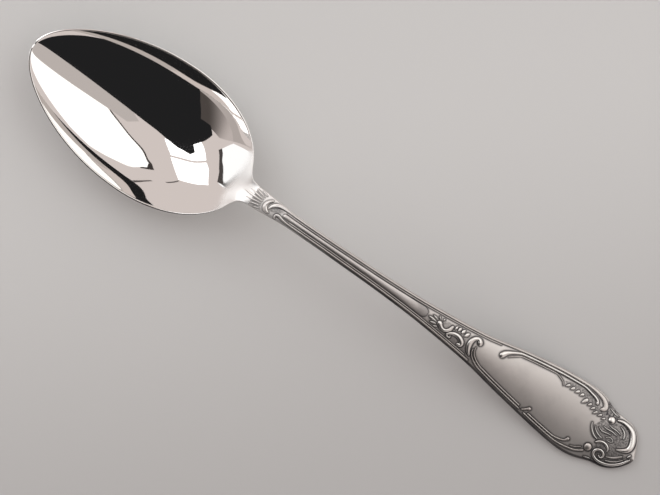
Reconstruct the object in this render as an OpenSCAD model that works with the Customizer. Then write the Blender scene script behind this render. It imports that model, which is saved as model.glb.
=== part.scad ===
// Serving spoon in a rococo pattern: one long forging with a polished bowl and a struck handle.
// Places along the spoon are counted from the bowl's tip, then moved so that the middle is at zero.

/* [Bowl] */
// Length of the bowl, from its tip to the neck
bowl_l = 84; // [70:1:96]
// Width of the bowl over its rim
bowl_w = 46; // [38:0.5:54]
// Depth from the rim to the inside of the bowl
bowl_depth = 11.5; // [8:0.5:15]
// Thickness of the metal at the bottom of the bowl
bowl_wall = 1.5; // [1:0.1:2.2]
// Thickness of the rim, seen from above
rim_t = 0.9; // [0.6:0.1:1.4]
// How far the rim's outer edge is rounded down
rim_drop = 0.35; // [0.2:0.05:0.5]

/* [Neck and stem] */
// Length of the handle, from the neck to its end
handle_l = 146; // [120:1:170]
// Rise of the rim towards the neck
neck_rise = 4.5; // [3:0.5:6]
// Thickness of the metal at the neck
neck_t = 3.2; // [2.6:0.1:4]
// Extra half width where the bowl runs into the neck
neck_flare = 0.95; // [0.6:0.05:1.2]
// Length of the carved stretch at the neck
neck_l = 15.75; // [13:0.25:18]
// Width of the stem at its narrowest
stem_w = 4.9; // [4.3:0.1:5.6]
// Thickness of the stem at its edges
stem_t = 2.35; // [1.9:0.05:2.8]
// Height of the arch under the handle
arch_h = 20; // [16:0.5:24]

/* [Blade] */
// Length of the broad blade with its end ornament
blade_l = 63; // [56:1:70]
// Width of the blade at its broadest
blade_w = 23; // [20:0.2:26]
// Thickness of the blade at its edges
blade_t = 1.45; // [1.1:0.05:1.8]
// Height of the crown over the blade's edges
blade_crown = 1.2; // [0.8:0.1:1.6]
// Height of the crown over the stem's edges
stem_crown = 0.3; // [0.2:0.05:0.5]

/* [Struck ornament] */
// Width of a plain scroll
scroll_w = 1.26; // [1:0.02:1.5]
// Height of a plain scroll over the ground
scroll_h = 0.5; // [0.3:0.05:0.7]
// Width of the bead along the edges
bead_w = 0.65; // [0.5:0.05:0.8]
// Height of the bead along the edges
bead_h = 0.3; // [0.2:0.02:0.44]
// Width of the fine line beside the bead
fillet_w = 0.45; // [0.35:0.05:0.55]
// Width of the plain slope outside the bead along the lower edge
slope_w = 0.42; // [0.3:0.02:0.54]
// Width of the groove between two lines
groove_w = 0.12; // [0.08:0.01:0.16]
// Height of the rib along the middle of the stem
rib_h = 0.3; // [0.2:0.02:0.44]
// Width of the fine double line under the panel
line_w = 0.56; // [0.44:0.02:0.66]

/* [Hidden] */

// How much of the carved neck lies on the bowl, and how far the handle's edges are rounded
leaf_share = 0.3;
bevel_share = 0.7;
// Where the bowl is widest, how pointed its tip is, how square its heel is, and how flat its bottom is
wide_share = 0.55;
tip_share = 0.17;
heel_power = 2.1;
heel_share = 0.405;
flat_share = 0.45;
// How the heel runs into the neck: the stretch and its slope, and how far the flare and the swell go on
run_share = 0.1;
slope_share = 0.2;
flare_share = 0.105;
swell_share = 0.2;
// The crown falls to half its height over the last stretch of the handle
fall_share = 0.08;
half_share = 0.5;
// The edge bead grows from the middle of the blade on
bead_start_share = 0.66;
bead_stretch_share = 0.15;
bead_grow_share = 1.4;
// Heights against that of a plain scroll or bead: of fine lines, of bosses and of bold scrolls
fine_share = 0.7;
boss_share = 0.85;
bold_share = 1.3;
// The stem's rib sinks to a low end over a share of the blade's length
fade_share = 0.12;
low_share = 0.16;
// Strokes where the stem widens get their full width on a blade that is this much longer than wide
slim_share = 2.7;
// Half width of the long scroll beside the panel, against the width of a plain scroll
upper_half_share = 0.36;
// Where the edge lines start beyond the neck, where the stem's rib ends before the blade, and where the
// blade's ground gives way to that of the end ornament
upper_start_share = 1.08;
lower_start_share = 1.2;
spray_share = 0.27;
plate_share = 0.72;

total_l = bowl_l + handle_l;
blade_x = total_l - blade_l;
neck_x = bowl_l - leaf_share * neck_l;
edge_inset = bevel_share * rim_drop;
edge_round = bevel_share * rim_drop;
wide_x = wide_share * bowl_l;
side_wall_z = bowl_wall + bowl_depth;
neck_top = side_wall_z + neck_rise + stem_crown;
neck_foot = neck_top - neck_t;
silver = "#b9b4ae";
bright = "#d9d7d4";
dull = "#8f8a86";

// Along the bowl: rise of the rim and of the middle, turn of the cross-section, metal in the middle and at
// the edge
rim_shares = [[0.55, 0], [0.65, 0.01], [0.72, 0.08], [0.79, 0.24], [0.84, 0.41], [0.88, 0.56], [0.93, 0.74],
  [0.965, 0.87], [1, 1]];
keel_shares = [[0.55, 0], [0.595, 0.0104], [0.655, 0.052], [0.714, 0.129], [0.774, 0.245], [0.821, 0.38],
  [0.863, 0.54], [0.905, 0.712], [0.94, 0.84], [0.97, 0.926], [1, 1]];
curve_shares = [[0.55, 0], [0.62, 0.3], [0.714, 0.6], [0.8, 0.8], [0.9, 0.95], [1, 1]];
wall_shares = [[0.55, 0], [0.65, 0], [0.726, 0.1], [0.821, 0.3], [0.863, 0.45], [0.905, 0.7], [0.952, 0.92],
  [1, 1]];
edge_shares = [[0.55, 0], [0.76, 0], [0.82, 0.08], [0.88, 0.32], [0.93, 0.6], [0.965, 0.82], [1, 1]];

// Along the handle: height of its underside up to the top of the arch, and down to the end
climb_shares = [[0, 0], [0.041, 0.33], [0.082, 0.6], [0.137, 0.85], [0.19, 0.965], [0.233, 1], [0.24, 1]];
fall_shares = [[0.226, 1], [0.233, 1], [0.288, 0.98], [0.342, 0.93], [0.397, 0.85], [0.452, 0.75],
  [0.507, 0.635], [0.562, 0.515], [0.616, 0.395], [0.671, 0.28], [0.726, 0.18], [0.781, 0.1],
  [0.836, 0.0425], [0.88, 0.012], [0.92, 0], [0.96, 0], [1, 0.01]];
// Along the handle: how far the section has turned from that of the stem to that of the blade
section_shares = [[0, 0], [0.3, 0], [0.45, 0.35], [0.57, 0.72], [0.68, 0.97], [0.8, 1], [1, 1]];
// Along the handle: half width from that of the stem, 0, to that of the blade, 1, on either side
upper_shares = [[0, 0], [0.184, 0], [0.249, 0.016], [0.313, 0.032], [0.378, 0.068], [0.432, 0.115],
  [0.464, 0.157], [0.497, 0.205], [0.54, 0.275], [0.572, 0.338], [0.605, 0.42], [0.637, 0.534],
  [0.68, 0.68], [0.723, 0.8], [0.766, 0.9], [0.81, 0.967], [0.844, 0.99], [0.861, 0.981], [0.874, 0.938],
  [0.887, 0.848], [0.896, 0.777], [0.909, 0.715], [0.921, 0.682], [0.932, 0.667], [0.945, 0.658],
  [0.956, 0.629], [0.969, 0.544], [0.977, 0.43], [0.984, 0.278], [0.99, 0.088], [0.996, -0.121],
  [1, -0.264]];
lower_shares = [[0, 0], [0.184, 0], [0.249, 0.016], [0.313, 0.032], [0.378, 0.068], [0.432, 0.115],
  [0.464, 0.157], [0.497, 0.205], [0.54, 0.275], [0.572, 0.335], [0.605, 0.415], [0.637, 0.515],
  [0.68, 0.636], [0.723, 0.748], [0.766, 0.858], [0.81, 0.953], [0.844, 1], [0.861, 0.995], [0.874, 0.972],
  [0.887, 0.929], [0.896, 0.886], [0.909, 0.81], [0.921, 0.748], [0.932, 0.71], [0.945, 0.682],
  [0.956, 0.634], [0.969, 0.525], [0.977, 0.425], [0.984, 0.32], [0.99, 0.202], [0.996, 0.059],
  [1, -0.064]];

// A smooth curve through a table's rows, in their first column
function row_at(t, x, i = 0) = i >= len(t) - 2 || x < t[i + 1][0] ? i : row_at(t, x, i + 1);
function slope_at(t, i) =
  let (a = max(i - 1, 0), b = min(i + 1, len(t) - 1))
  (t[b][1] - t[a][1]) / (t[b][0] - t[a][0]);
function smooth(t, x) =
  let (
    i = row_at(t, x),
    span = t[i + 1][0] - t[i][0],
    u = min(max((x - t[i][0]) / span, 0), 1)
  )
  t[i][1] * (1 + 2 * u) * (1 - u) * (1 - u) + t[i + 1][1] * u * u * (3 - 2 * u)
  + span * (slope_at(t, i) * u * (1 - u) * (1 - u) - slope_at(t, i + 1) * u * u * (1 - u));
function mix(a, b, u) = a + (b - a) * u;
function smooth_max(a, b) = pow(pow(max(a, 0), 4) + pow(max(b, 0), 4), 1 / 4);
function along_bowl(x) = x / bowl_l;
function along_handle(x) = (x - bowl_l) / handle_l;

// Outline: half width of the bowl behind its widest place, and of the handle on either side
function heel_half(x) =
  let (u = min((x - wide_x) / (heel_share * bowl_l), 1))
  bowl_w / 2 * pow(1 - pow(u, heel_power), 1 / heel_power);
function eased(u) = let (v = min(max(u, 0), 1)) v * v * (3 - 2 * v);
function flare_at(u) = neck_flare * (1 - eased(u / flare_share));
function handle_half(shares, x) =
  let (u = along_handle(x))
  mix(stem_w, blade_w, smooth(shares, u)) / 2 + flare_at(u);
function neck_half(x) = stem_w / 2 + neck_flare + slope_share * min(bowl_l - x, run_share * bowl_l);
function upper_y(x) = x < bowl_l ? smooth_max(heel_half(x), neck_half(x)) : handle_half(upper_shares, x);
function lower_y(x) = x < bowl_l ? -smooth_max(heel_half(x), neck_half(x)) : -handle_half(lower_shares, x);
function inset_at(x) = x < bowl_l ? mix(rim_t, edge_inset, smooth(edge_shares, along_bowl(x))) : edge_inset;

// Heights behind the bowl's widest place: the top and the underside, in the middle and at the edges
function foot_z(x) =
  let (u = along_handle(x))
  u < climb_shares[5][0]
    ? mix(neck_foot, arch_h, smooth(climb_shares, u))
    : arch_h * max(smooth(fall_shares, u), 0);
function crown_h(x) = mix(stem_crown, blade_crown, smooth(section_shares, along_handle(x)))
  * (1 - half_share * pow(max((along_handle(x) - 1) / fall_share + 1, 0), 2));
function edge_t(x) = mix(stem_t, blade_t, smooth(section_shares, along_handle(x)));
function neck_swell(x) =
  (neck_t - stem_t - stem_crown - edge_round) * pow(max(1 - along_handle(x) / swell_share, 0), 2);
function keel_z(x) = bowl_wall + (neck_top - bowl_wall) * smooth(keel_shares, along_bowl(x));
function rim_z(x) = side_wall_z + neck_rise * smooth(rim_shares, along_bowl(x));
function top_mid(x) = x < bowl_l
  ? keel_z(x)
  : foot_z(x) + edge_round + edge_t(x) + crown_h(x) + neck_swell(x);
function top_edge(x) = x < bowl_l ? rim_z(x) : top_mid(x) - crown_h(x);
function foot_mid(x) = x < bowl_l
  ? keel_z(x) - mix(bowl_wall, neck_t, smooth(wall_shares, along_bowl(x)))
  : foot_z(x);
function foot_edge(x) = x < bowl_l
  ? rim_z(x) - mix(rim_drop, neck_t - stem_crown - edge_round, smooth(edge_shares, along_bowl(x)))
  : foot_z(x) + edge_round;
// The curve of a cross-section, from 0 in the middle to 1 at the edge
function wall_curve(t) = (1 - flat_share) * t * t + flat_share * pow(t, 4);
function curve_at(x, t) =
  mix(wall_curve(t), t * t, x < bowl_l ? smooth(curve_shares, along_bowl(x)) : 1);
function middle_y(x) = (upper_y(x) + lower_y(x)) / 2;
function half_y(x) = (upper_y(x) - lower_y(x)) / 2;
function top_z(x, y) =
  let (t = min(abs(y - middle_y(x)) / (half_y(x) - inset_at(x)), 1))
  mix(top_mid(x), top_edge(x), curve_at(x, t));

// Sections of the body, as closed rings: over the top from one edge to the other, and back underneath
function spread(n) = [for (j = [0:n]) sin(90 * (2 * j / n - 1))];
function section(x, n) =
  let (c = middle_y(x), w = half_y(x), inner = w - inset_at(x))
  concat(
    [for (t = spread(n)) [x, c + inner * t, mix(top_mid(x), top_edge(x), curve_at(x, abs(t)))]],
    [for (t = spread(n)) [x, c - w * t, mix(foot_mid(x), foot_edge(x), curve_at(x, abs(t)))]]
  );
function tip_half(w, a) = w * sin(a) * (1 - tip_share * pow(cos(a), 2));
function tip_section(a, n) =
  let (
    rise = pow(cos(a), 2),
    inner_z = bowl_wall + bowl_depth * rise,
    outer_z = (side_wall_z - rim_drop) * rise,
    inner_x = wide_x - (wide_x - rim_t) * cos(a),
    outer_x = wide_x * (1 - cos(a)),
    inner = tip_half(bowl_w / 2 - rim_t, a),
    outer = tip_half(bowl_w / 2, a)
  )
  concat(
    [for (t = spread(n)) [inner_x, inner * t, mix(inner_z, side_wall_z, wall_curve(abs(t)))]],
    [for (t = spread(n)) [outer_x, -outer * t, mix(outer_z, side_wall_z - rim_drop, wall_curve(abs(t)))]]
  );

// A solid through closed rings that have as many points each
module loft(rings) {
  m = len(rings[0]);
  half = m / 2;
  last = (len(rings) - 1) * m;
  skin = [for (i = [0:len(rings) - 2], j = [0:m - 1], k = [0, 1])
    let (a = i * m + j, b = i * m + (j + 1) % m)
    k == 0 ? [a, b, b + m] : [a, b + m, a + m]];
  ends = [for (j = [0:half - 2], k = [0, 1], e = [0, 1])
    let (a = j, b = j + 1, c = m - 2 - j, d = m - 1 - j, face = k == 0 ? [a, d, c] : [a, c, b])
    if (!(j == 0 && k == 0 && a == d) && !(j == half - 1 && b == c))
      e == 0 ? face : [last + face[2], last + face[1], last + face[0]]];
  translate([-total_l / 2, 0, 0])
    polyhedron([for (r = rings, p = r) p], concat(skin, ends), convexity = 4);
}

function stations(from, to, n) = [for (i = [0:n]) mix(from, to, i / n)];

// Scrolls: a path of points, each with its half width, run along the surface of the body. A fourth number is
// how much of the height a point has, where that is not all of it
scroll_section_shares = [[-1, 0], [-0.72, 0.66], [-0.26, 0.96], [0.26, 0.96], [0.72, 0.66], [1, 0]];
// A wide scroll also follows the crowned ground under its middle
wide_section_shares = concat(scroll_section_shares, [[0.5, 0.02], [0, 0.02], [-0.5, 0.02]]);
end_shares = [[0.97, 0.25], [0.87, 0.5], [0.5, 0.87]];
function unit(v) = v / norm(v);
function flat(p) = [p[0], p[1]];
function heading(path, i) =
  unit(flat(path[min(i + 1, len(path) - 1)]) - flat(path[max(i - 1, 0)]));
function rise_of(p) = len(p) > 3 ? p[3] : 1;
function end_points(p, dir) =
  [for (e = end_shares) concat(flat(p) + dir * p[2] * e[0], [p[2] * e[1], rise_of(p) * e[1]])];
function rounded(path) =
  let (n = len(path) - 1, tail = end_points(path[n], heading(path, n)))
  concat(
    end_points(path[0], -heading(path, 0)),
    [for (p = path) concat(flat(p), [p[2], rise_of(p)])],
    [for (i = [len(tail) - 1:-1:0]) tail[i]]
  );
function blend(a, b, c, d, u) =
  0.5 * (2 * b + (c - a) * u + (2 * a - 5 * b + 4 * c - d) * u * u + (3 * b - a - 3 * c + d) * u * u * u);
function through(path, steps) =
  let (n = len(path) - 1)
  concat(
    [for (i = [0:n - 1], k = [0:steps - 1])
      blend(path[max(i - 1, 0)], path[i], path[i + 1], path[min(i + 2, n)], k / steps)],
    [path[n]]
  );

module scroll(path, height, s = scroll_section_shares) {
  p = rounded(path);
  n = len(p);
  m = len(s);
  points = [for (i = [0:n - 1], q = s)
    let (
      h = heading(p, i),
      x = p[i][0] - h[1] * q[0] * p[i][2],
      y = p[i][1] + h[0] * q[0] * p[i][2]
    )
    [x, y, top_z(x, y) + height * p[i][3] * q[1]]];
  skin = [for (i = [0:n - 2], j = [0:m - 1], k = [0, 1])
    let (a = i * m + j, b = i * m + (j + 1) % m)
    k == 0 ? [a, b, b + m] : [a, b + m, a + m]];
  ends = [for (j = [1:m - 2], e = [0, 1])
    e == 0 ? [0, j + 1, j] : [(n - 1) * m, (n - 1) * m + j, (n - 1) * m + j + 1]];
  translate([-total_l / 2, 0, 0])
    polyhedron(points, concat(skin, ends), convexity = 6);
}

// A low dome standing on the surface
module boss(centre, r, height) {
  n = 14;
  levels = [0, 30, 58, 78];
  points = concat(
    [for (e = levels, j = [0:n - 1])
      let (x = centre[0] + r * cos(e) * cos(360 * j / n), y = centre[1] + r * cos(e) * sin(360 * j / n))
      [x, y, top_z(x, y) + height * sin(e)]],
    [for (rise = [height, 0]) [centre[0], centre[1], top_z(centre[0], centre[1]) + rise]]
  );
  top = len(levels) * n;
  skin = [for (i = [0:len(levels) - 2], j = [0:n - 1], k = [0, 1])
    let (a = i * n + j, b = i * n + (j + 1) % n)
    k == 0 ? [a, b + n, b] : [a, a + n, b + n]];
  caps = [for (j = [0:n - 1], e = [0, 1])
    let (a = j, b = (j + 1) % n)
    e == 0 ? [top - n + a, top, top - n + b] : [b, top + 1, a]];
  translate([-total_l / 2, 0, 0])
    polyhedron(points, concat(skin, caps), convexity = 2);
}

// Places on the blade are shares of its length and half width, and places at the neck are shares of the
// neck's. Places where the stem widens are shares of the room that its edge lines leave, and the strokes
// there are slimmer on a blade that is short for its width
function on_blade(q) = [blade_x + q[0] * blade_l, q[1] * blade_w / 2, half_of(q[2])];
function on_stem(q) =
  let (x = blade_x + q[0] * blade_l, slim = min(blade_l / (slim_share * blade_w), 1))
  [x, rib_y(x) + q[1] * rib_half(x), q[2] * rib_half(x) * slim];
function on_neck(q) = [neck_x + q[0] * neck_l, q[1] * stem_w / 2, half_of(q[2])];
function half_of(fat) = fat * scroll_w / 2;
function height_of(fat) = scroll_h * sqrt(fat);
module blade_scroll(shares, height = scroll_h, steps = 4) {
  scroll(through([for (q = shares) on_blade(q)], steps), height);
}
module stem_scroll(shares, height = scroll_h) {
  scroll(through([for (q = shares) on_stem(q)], 3), height);
}
module blade_boss(q) {
  boss(on_blade(q), half_of(q[2]), boss_share * height_of(q[2]));
}
// A leaf swells from its root and ends in a point
leaf_shares = [[0, 0.45], [0.3, 0.85], [0.6, 1], [0.85, 0.62], [1, 0.16]];
// A husk is broadest at its root
husk_form_shares = [[0, 1], [0.3, 0.98], [0.6, 0.72], [0.85, 0.38], [1, 0.14]];
module leaf(root, tip, half_w, height, form = leaf_shares) {
  scroll([for (q = form) concat(flat(root) + (flat(tip) - flat(root)) * q[0], [half_w * q[1]])], height);
}
module stem_leaves(rows) {
  for (q = rows)
    leaf(on_stem([q[0], q[1], 0]), on_stem([q[2], q[3], 0]), on_stem([q[0], 0, q[4]])[2], scroll_h);
}
module blade_leaves(rows, form = leaf_shares) {
  for (q = rows)
    leaf(on_blade([q[0], q[1], 0]), on_blade([q[2], q[3], 0]), half_of(q[4]), fine_share * scroll_h, form);
}

// Lines that keep a distance to an edge. A run is from one place along the spoon to another
function bead_half(x) =
  let (u = min(max((along_handle(x) - bead_start_share) / bead_stretch_share, 0), 1))
  bead_w / 2 * mix(1, bead_grow_share, u);
function upper_run(from, to, n, inner, half_w) =
  [for (x = stations(from, to, n)) [x, upper_y(x) - edge_inset - inner(x) - half_w, half_w]];
function lower_run(from, to, n, offset, half_w) =
  [for (x = stations(from, to, n)) [x, lower_y(x) + edge_inset + offset + half_w, half_w]];
past_bead = function (x) 2 * bead_half(x) + groove_w;
past_scroll = function (x) 2 * bead_half(x) + groove_w + upper_scroll_half * 2 + groove_w;
upper_scroll_half = upper_half_share * scroll_w;
fillet_start = neck_x + upper_start_share * neck_l;
lower_start = neck_x + lower_start_share * neck_l;
hook_start = neck_x + neck_l;
spray_x = blade_x - spray_share * blade_l;

module bowl() {
  color(bright)
    loft(concat(
      [for (a = concat([2.5], [for (i = [1:11]) 7.5 * i + 3.75 * pow(1 - i / 11, 2)])) tip_section(a, 20)],
      [for (u = [wide_share, 0.58, 0.61, 0.64, 0.67, 0.7, 0.725, 0.75, 0.775, 0.8, 0.82, 0.84, 0.86, 0.88,
          0.9, 0.917, 0.932, 0.945, 0.957, 0.968, 0.984, 1])
        section(u * bowl_l, 20)]
    ));
}

module neck() {
  color(silver) loft([for (x = stations(bowl_l, hook_start, 6)) section(x, 8)]);
}

module stem() {
  color(silver) loft([for (x = stations(hook_start, spray_x, 16)) section(x, 8)]);
}

module blade() {
  color(silver) loft([for (x = stations(spray_x, blade_x + plate_share * blade_l, 20)) section(x, 12)]);
}

module end_plate() {
  color(dull)
    loft([for (u = [plate_share, 0.74, 0.76, 0.78, 0.8, 0.83, 0.86, 0.885, 0.91, 0.93, 0.945, 0.96, 0.97,
        0.98, 0.99, 1])
      section(blade_x + u * blade_l, 12)]);
}

neck_leaf_shares = [[0.5, 0, 0.08, 0.04, 0.8], [0.5, 0.3, 0.17, 0.62, 0.66], [0.51, 0.62, 0.28, 1, 0.56],
  [0.54, 0.92, 0.41, 1.18, 0.42], [0.5, -0.3, 0.19, -0.6, 0.66], [0.51, -0.62, 0.28, -0.98, 0.56],
  [0.54, -0.92, 0.41, -1.16, 0.42]];
module neck_leaf() {
  color(silver)
    for (q = neck_leaf_shares)
      leaf(on_neck([q[0], q[1], 0]), on_neck([q[2], q[3], 0]), half_of(q[4]), fine_share * height_of(q[4]));
}

neck_scroll_shares = [[0.682, 0.8, 0.7], [0.628, 0.4, 1.1], [0.605, -0.04, 1.35], [0.616, -0.4, 1.45],
  [0.656, -0.66, 1.3], [0.712, -0.76, 0.85]];
module neck_scroll() {
  color(silver) scroll(through([for (q = neck_scroll_shares) on_neck(q)], 3), bold_share * scroll_h);
}

upper_hook_shares = [[0.705, -0.24, 0.6], [0.722, 0.08, 0.9], [0.766, 0.44, 1.2], [0.836, 0.74, 1.3],
  [0.935, 0.86, 1.1], [1.02, 0.83, 0.75]];
upper_curl_shares = [[0.67, 0.895, 1], [0.705, 0.84, 1.25], [0.729, 0.75, 1.45], [0.738, 0.65, 1.4],
  [0.728, 0.578, 1.1]];
module upper_edge_bead() {
  color(silver)
    scroll(concat(
      through([for (q = upper_hook_shares) on_neck(q)], 3),
      [for (x = stations(fillet_start, blade_x + 0.62 * blade_l, 34))
        [x, upper_y(x) - edge_inset - bead_half(x), bead_half(x)]],
      through([for (q = upper_curl_shares) on_blade(q)], 3)
    ), bead_h);
}

lower_hook_shares = [[0.895, -0.9, 0.5], [0.88, -0.6, 0.7], [0.92, -0.36, 0.9], [0.985, -0.4, 0.8],
  [1.05, -0.51, 0.68], [1.13, -0.57, 0.56]];
module lower_edge_bead() {
  color(silver)
    scroll(concat(
      through([for (q = lower_hook_shares) on_neck(q)], 3),
      lower_run(lower_start, blade_x + 0.02 * blade_l, 22, slope_w, bead_w / 2)
    ), bead_h);
}

module upper_fillet() {
  color(silver)
    scroll(upper_run(fillet_start, blade_x + 0.12 * blade_l, 24, past_bead, fillet_w / 2),
      fine_share * bead_h);
}

module lower_fillet() {
  color(silver)
    scroll(lower_run(lower_start, blade_x - 0.01 * blade_l, 22, slope_w + bead_w + groove_w, fillet_w / 2),
      fine_share * bead_h);
}

function rib_half(x) = half_y(x) - edge_inset - slope_w / 2 - bead_w - fillet_w - 2 * groove_w;
function rib_y(x) = middle_y(x) + slope_w / 2;
module stem_rib() {
  rib_from = hook_start + rib_half(hook_start) + groove_w;
  rib_to = spray_x - rib_half(spray_x) - groove_w;
  fade_from = rib_to - fade_share * blade_l;
  places = concat(stations(rib_from, fade_from, 12), [for (u = [0.2:0.2:1]) mix(fade_from, rib_to, u)]);
  color(silver)
    scroll([for (x = places)
      [x, rib_y(x), rib_half(x), mix(1, low_share, eased((x - fade_from) / (rib_to - fade_from)))]],
      rib_h, wide_section_shares);
}

spray_shares = [[-0.2175, -0.1, -0.262, -0.06, 0.22], [-0.214, 0.2, -0.245, 0.46, 0.18],
  [-0.203, 0.42, -0.2175, 0.8, 0.15], [-0.188, 0.53, -0.186, 0.87, 0.14], [-0.214, -0.4, -0.244, -0.66, 0.18],
  [-0.201, -0.64, -0.22, -0.9, 0.14]];
module leaf_spray() {
  color(silver) stem_leaves(spray_shares);
}

ball_scroll_shares = [[-0.195, -0.1, 0.42], [-0.184, -0.34, 0.32], [-0.17, -0.47, 0.25],
  [-0.156, -0.44, 0.23], [-0.1435, -0.2, 0.24], [-0.135, 0.12, 0.25], [-0.1325, 0.42, 0.19]];
module ball_scroll() {
  color(silver) stem_scroll(ball_scroll_shares, bold_share * scroll_h);
}

c_scroll_shares = [[-0.118, -0.62, 0.1], [-0.116, -0.74, 0.11], [-0.1255, -0.81, 0.12],
  [-0.1355, -0.76, 0.14], [-0.1355, -0.57, 0.15], [-0.124, -0.3, 0.19], [-0.104, -0.1, 0.25],
  [-0.08, -0.1, 0.28], [-0.06, -0.27, 0.29], [-0.049, -0.5, 0.26], [-0.051, -0.7, 0.22],
  [-0.0625, -0.76, 0.17]];
module c_scroll() {
  color(silver) stem_scroll(c_scroll_shares, bold_share * scroll_h);
}

flute_shares = [[-0.1145, 0.4, -0.111, 0.84, 0.17], [-0.0975, 0.42, -0.0925, 0.87, 0.2],
  [-0.0775, 0.42, -0.0695, 0.85, 0.22], [-0.056, 0.3, -0.0425, 0.74, 0.22]];
module shell_flutes() {
  color(silver) stem_leaves(flute_shares);
}

volute_leaf_shares = [[0.0125, -0.83, 0.105], [-0.0015, -0.635, 0.21], [-0.012, -0.27, 0.27],
  [-0.0145, 0.1, 0.27], [-0.0115, 0.4, 0.24], [-0.0035, 0.63, 0.2], [0.0085, 0.72, 0.19],
  [0.0205, 0.66, 0.22], [0.0275, 0.5, 0.27]];
module leaf_volute() {
  color(silver) stem_scroll(volute_leaf_shares, bold_share * scroll_h);
}

inner_line_shares = [[0.0225, -0.01, 0.05], [0.026, -0.315, 0.053], [0.037, -0.585, 0.063],
  [0.056, -0.79, 0.068]];
outer_line_shares = [[0.0145, -0.25, 0.046], [0.0175, -0.54, 0.05], [0.032, -0.82, 0.06],
  [0.055, -1.015, 0.066]];
module line(start, from, to, n, offset, finish) {
  scroll(concat(
    len(start) > 0 ? through([for (q = start) on_stem(q)], 3) : [],
    lower_run(blade_x + from * blade_l, blade_x + to * blade_l, n, offset, line_w / 2),
    len(finish) > 0 ? through([for (q = finish) on_blade(q)], 3) : []
  ), bead_h);
}
outer_offset = slope_w + bead_w / 2 + groove_w;
inner_offset = outer_offset + line_w + 2 * groove_w;
module panel_line_pair() {
  color(silver) {
    line(inner_line_shares, 0.085, 0.365, 10, inner_offset, []);
    line(outer_line_shares, 0.085, 0.372, 10, outer_offset, []);
  }
}

hook_shares = [[0.39, -0.662, 0.4], [0.4, -0.63, 0.45], [0.41, -0.58, 0.58], [0.421, -0.54, 0.95]];
module panel_hook() {
  color(silver) blade_scroll(hook_shares);
}

inner_end_shares = [[0.635, -0.75, 0.42], [0.651, -0.718, 0.44], [0.661, -0.67, 0.55], [0.667, -0.622, 0.9]];
outer_end_shares = [[0.66, -0.85, 0.48], [0.7, -0.812, 0.5], [0.73, -0.755, 0.5], [0.752, -0.685, 0.48],
  [0.7615, -0.64, 0.42]];
strand_shares = [[0.695, -0.738, 0.2], [0.715, -0.693, 0.28], [0.733, -0.63, 0.28], [0.743, -0.59, 0.22]];
module rim_line_pair() {
  color(silver) {
    line([], 0.43, 0.6, 7, inner_offset, inner_end_shares);
    line([], 0.41, 0.62, 9, outer_offset, outer_end_shares);
    blade_scroll(strand_shares, bead_h, steps = 3);
  }
}

module lower_ball() {
  color(silver) blade_boss([0.7735, -0.49, 2.1]);
}

scroll_start_shares = [[0.1545, 0.262, 1.65], [0.1615, 0.328, 1.55], [0.1735, 0.402, 1.12],
  [0.193, 0.476, 0.82]];
scroll_finish_shares = [[0.64, 0.785, 0.78], [0.668, 0.75, 0.85], [0.686, 0.695, 0.9], [0.69, 0.64, 0.95]];
module upper_scroll() {
  color(silver)
    scroll(concat(
      through([for (q = scroll_start_shares) on_blade(q)], 3),
      upper_run(blade_x + 0.225 * blade_l, blade_x + 0.6 * blade_l, 14, past_bead, upper_scroll_half),
      through([for (q = scroll_finish_shares) on_blade(q)], 3)
    ), bold_share * scroll_h);
}

fillet_start_shares = [[0.186, 0.31, 0.26], [0.199, 0.373, 0.3]];
fillet_finish_shares = [[0.467, 0.645, 0.32], [0.484, 0.6, 0.32], [0.495, 0.525, 0.2]];
module panel_fillet() {
  color(silver)
    scroll(concat(
      [for (q = fillet_start_shares) on_blade(q)],
      upper_run(blade_x + 0.235 * blade_l, blade_x + 0.44 * blade_l, 9, past_scroll, fillet_w / 2),
      through([for (q = fillet_finish_shares) on_blade(q)], 3)
    ), fine_share * bead_h);
}

husk_shares = [[0.52, 0.62, 0.507, 0.545, 0.8], [0.548, 0.62, 0.536, 0.548, 0.85],
  [0.577, 0.622, 0.5645, 0.55, 0.85], [0.604, 0.618, 0.5925, 0.55, 0.85], [0.635, 0.545, 0.621, 0.42, 1.1],
  [0.664, 0.52, 0.653, 0.45, 0.75], [0.688, 0.485, 0.6765, 0.415, 0.75], [0.71, 0.43, 0.6985, 0.35, 0.7],
  [0.737, 0.44, 0.7245, 0.37, 0.7], [0.761, 0.405, 0.75, 0.35, 0.65]];
module husk_fringe() {
  color(silver) blade_leaves(husk_shares, husk_form_shares);
}

end_scroll_shares = [[0.829, 0.585, 0.8], [0.85, 0.618, 1], [0.878, 0.61, 1.25], [0.9025, 0.575, 1.5],
  [0.922, 0.515, 1.65], [0.9375, 0.415, 1.75], [0.9485, 0.288, 1.8], [0.953, 0.155, 1.7], [0.947, 0.045, 1.5],
  [0.929, -0.035, 1.15], [0.902, -0.11, 0.5]];
module end_scroll() {
  color(silver) blade_scroll(end_scroll_shares, bold_share * scroll_h);
}

module end_ball() {
  color(silver) blade_boss([0.7985, 0.485, 2]);
}

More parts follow.
